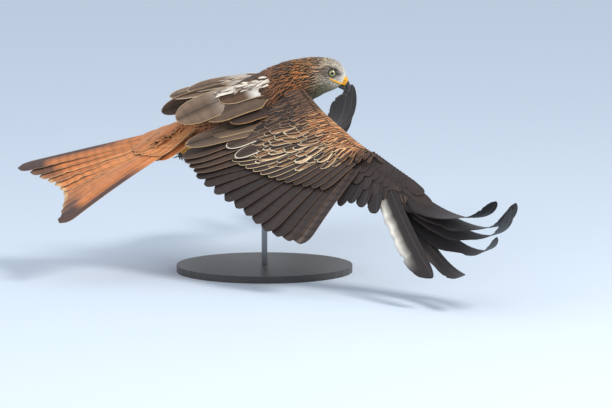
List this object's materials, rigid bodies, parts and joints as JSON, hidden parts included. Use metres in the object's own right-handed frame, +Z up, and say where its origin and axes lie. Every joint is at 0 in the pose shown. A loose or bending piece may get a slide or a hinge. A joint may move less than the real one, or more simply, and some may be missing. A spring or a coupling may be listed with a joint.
{
  "type": "red_kite_display_model",
  "caption": "Red kite (Milvus milvus) in flight with drooped wings and a forked tail, a life-size still model on a display stand with a round base and a rod",
  "frame": {"origin": "Centre of the underside of the stand's base", "axes": "+X is the way the bird flies, +Y is towards its left wing tip, +Z is up"},
  "size_m": [0.7128, 1.2741, 0.3676],
  "materials": {
    "rufous_feather": "matte",
    "brown_feather": "matte",
    "head_feather": "matte",
    "yellow_skin": "satin",
    "black_horn": "gloss",
    "eye": "gloss",
    "stand_steel": "satin",
    "stand_board": "satin"
  },
  "bodies": {
    "root": {"head": "head_feather", "neck": "rufous_feather", "torso": "rufous_feather", "tail": "rufous_feather", "cere": "yellow_skin", "bill_upper": "black_horn", "bill_lower": "black_horn", "eye_left": "eye", "eye_right": "eye", "wing_left_arm": "brown_feather", "wing_left_hand": "brown_feather", "wing_right_arm": "brown_feather", "wing_right_hand": "brown_feather", "leg_left": "rufous_feather", "leg_right": "rufous_feather", "foot_left": "yellow_skin", "foot_right": "yellow_skin", "claw_left_1": "black_horn", "claw_left_2": "black_horn", "claw_left_3": "black_horn", "claw_left_4": "black_horn", "claw_right_1": "black_horn", "claw_right_2": "black_horn", "claw_right_3": "black_horn", "claw_right_4": "black_horn", "stand_base": "stand_board", "stand_rod": "stand_steel"}
  },
  "joints": []
}
